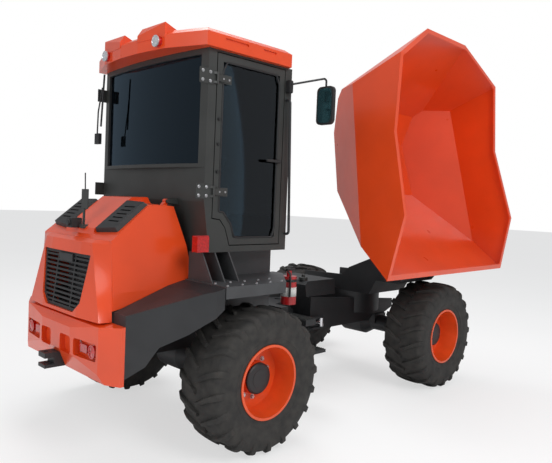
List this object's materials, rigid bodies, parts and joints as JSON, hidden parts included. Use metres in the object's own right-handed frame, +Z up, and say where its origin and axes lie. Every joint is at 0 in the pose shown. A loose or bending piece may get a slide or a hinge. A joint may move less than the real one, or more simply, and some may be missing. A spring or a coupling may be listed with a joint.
{
  "type": "site dumper",
  "caption": "Articulated construction dumper with an enclosed cab, a rear engine bonnet and a swivelling tipping skip at the front, shown swung to the side and tipped.",
  "frame": {"origin": "middle of the machine's bounding box at ground level", "axes": "+X forward from the engine to the skip, +Y to the machine's left, +Z up"},
  "size_m": [5.02, 2.7554, 3.8617],
  "materials": {
    "orange_paint": "semi-gloss orange enamel",
    "dark_grey_paint": "satin dark grey paint",
    "cab_grey_paint": "satin olive grey paint",
    "light_grey_paint": "satin light grey paint",
    "black_paint": "satin black paint",
    "red_paint": "gloss red paint",
    "chrome_rod": "polished rod",
    "engine_metal": "painted casting",
    "black_plastic": "grained black",
    "lamp_plastic": "clear lens",
    "seat_fabric": "woven dark fabric",
    "window_glass": "clear tinted",
    "tyre_rubber": "dusty rubber"
  },
  "bodies": {
    "rear": {"rear_chassis": "dark_grey_paint", "rear_axle": "dark_grey_paint", "engine": "engine_metal", "rear_bumper": "orange_paint", "tow_hitch": "dark_grey_paint", "side_skirts": "dark_grey_paint", "cab_platform": "light_grey_paint", "cab_frame": "cab_grey_paint", "cab_roof": "orange_paint", "cab_windows": "window_glass", "driver_seat": "seat_fabric", "steering_console": "black_plastic", "steps": "dark_grey_paint", "mirrors": "black_plastic", "grab_rails": "dark_grey_paint", "fire_extinguisher": "red_paint", "lamps": "lamp_plastic"},
    "bonnet": {"bonnet": "orange_paint", "rear_cowl": "orange_paint", "rear_grille": "black_plastic", "bonnet_vents": "black_plastic"},
    "door_right": {"door_right": "cab_grey_paint", "door_glass_right": "window_glass"},
    "door_left": {"door_left": "cab_grey_paint", "door_glass_left": "window_glass"},
    "pivot": {"pivot_block": "dark_grey_paint"},
    "front": {"front_chassis": "dark_grey_paint", "front_axle": "dark_grey_paint", "service_box": "dark_grey_paint"},
    "turntable": {"tip_frame": "dark_grey_paint"},
    "skip": {"skip": "orange_paint"},
    "tip_barrel": {"tip_barrel": "black_paint"},
    "tip_rod": {"tip_rod": "chrome_rod"},
    "steering_barrel_right": {"steering_barrel_right": "black_paint"},
    "steering_barrel_left": {"steering_barrel_left": "black_paint"},
    "steering_rod_right": {"steering_rod_right": "chrome_rod"},
    "steering_rod_left": {"steering_rod_left": "chrome_rod"},
    "wheel_rear_right": {"tyre_rear_right": "tyre_rubber", "rim_rear_right": "orange_paint"},
    "wheel_rear_left": {"tyre_rear_left": "tyre_rubber", "rim_rear_left": "orange_paint"},
    "wheel_front_right": {"tyre_front_right": "tyre_rubber", "rim_front_right": "orange_paint"},
    "wheel_front_left": {"tyre_front_left": "tyre_rubber", "rim_front_left": "orange_paint"}
  },
  "joints": [
    {"name": "articulation", "type": "hinge", "parent": "rear", "child": "pivot", "pos_m": [0.11, 0.13667, 0.79], "axis": [0, 0, -1], "range_deg": [-30, 30]},
    {"name": "oscillation", "type": "hinge", "parent": "pivot", "child": "front", "pos_m": [0.11, 0.13667, 0.79], "axis": [1, 0, 0], "range_deg": [-10, 10]},
    {"name": "swivel", "type": "hinge", "parent": "front", "child": "turntable", "pos_m": [1.31, 0.13667, 1.0153], "axis": [0, 0, 1], "range_deg": [0, 180]},
    {"name": "tip", "type": "hinge", "parent": "turntable", "child": "skip", "pos_m": [1.31, -0.70623, 1.5913], "axis": [-1, 0, 0], "range_deg": [0, 80]},
    {"name": "tip_barrel_swing", "type": "hinge", "parent": "turntable", "child": "tip_barrel", "pos_m": [1.31, -0.42333, 1.11], "axis": [-1, 0, 0], "range_deg": [0, 74.43]},
    {"name": "tip_rod_slide", "type": "slide", "parent": "tip_barrel", "child": "tip_rod", "axis": [0, 0.2116, 0.9774], "range_m": [-0.70738, 0]},
    {"name": "steering_barrel_right_swing", "type": "hinge", "parent": "rear", "child": "steering_barrel_right", "pos_m": [-0.41, -0.24333, 0.74], "axis": [0, 0, -1], "range_deg": [-10.09, 10.09]},
    {"name": "steering_rod_right_slide", "type": "slide", "parent": "steering_barrel_right", "child": "steering_rod_right", "axis": [1, 0, 0], "range_m": [-0.19603, 0.19603]},
    {"name": "steering_barrel_left_swing", "type": "hinge", "parent": "rear", "child": "steering_barrel_left", "pos_m": [-0.41, 0.51667, 0.74], "axis": [0, 0, -1], "range_deg": [-10.09, 10.09]},
    {"name": "steering_rod_left_slide", "type": "slide", "parent": "steering_barrel_left", "child": "steering_rod_left", "axis": [1, 0, 0], "range_m": [-0.19603, 0.19603]},
    {"name": "door_right_hinge", "type": "hinge", "parent": "rear", "child": "door_right", "pos_m": [-1.505, -0.67533, 2.53], "axis": [0, 0, -1], "range_deg": [0, 100]},
    {"name": "door_left_hinge", "type": "hinge", "parent": "rear", "child": "door_left", "pos_m": [-1.505, 0.94867, 2.53], "axis": [0, 0, 1], "range_deg": [0, 100]},
    {"name": "bonnet_hinge", "type": "hinge", "parent": "rear", "child": "bonnet", "pos_m": [-1.69, 0.13667, 1.99], "axis": [0, 1, 0], "range_deg": [0, 50]},
    {"name": "wheel_rear_right_spin", "type": "hinge", "parent": "rear", "child": "wheel_rear_right", "pos_m": [-1.19, -0.85933, 0.586], "axis": [0, 1, 0], "continuous": true},
    {"name": "wheel_rear_left_spin", "type": "hinge", "parent": "rear", "child": "wheel_rear_left", "pos_m": [-1.19, 1.13267, 0.586], "axis": [0, 1, 0], "continuous": true},
    {"name": "wheel_front_right_spin", "type": "hinge", "parent": "front", "child": "wheel_front_right", "pos_m": [1.57, -0.85933, 0.586], "axis": [0, 1, 0], "continuous": true},
    {"name": "wheel_front_left_spin", "type": "hinge", "parent": "front", "child": "wheel_front_left", "pos_m": [1.57, 1.13267, 0.586], "axis": [0, 1, 0], "continuous": true}
  ],
  "couplings": [
    {"joint": "tip_barrel_swing", "follows": "tip", "ratio": 0.93032},
    {"joint": "tip_rod_slide", "follows": "tip", "m_per_rad": -0.50663},
    {"joint": "steering_barrel_right_swing", "follows": "articulation", "ratio": 0.33632},
    {"joint": "steering_rod_right_slide", "follows": "articulation", "m_per_rad": -0.37438},
    {"joint": "steering_barrel_left_swing", "follows": "articulation", "ratio": 0.33632},
    {"joint": "steering_rod_left_slide", "follows": "articulation", "m_per_rad": 0.37438}
  ]
}
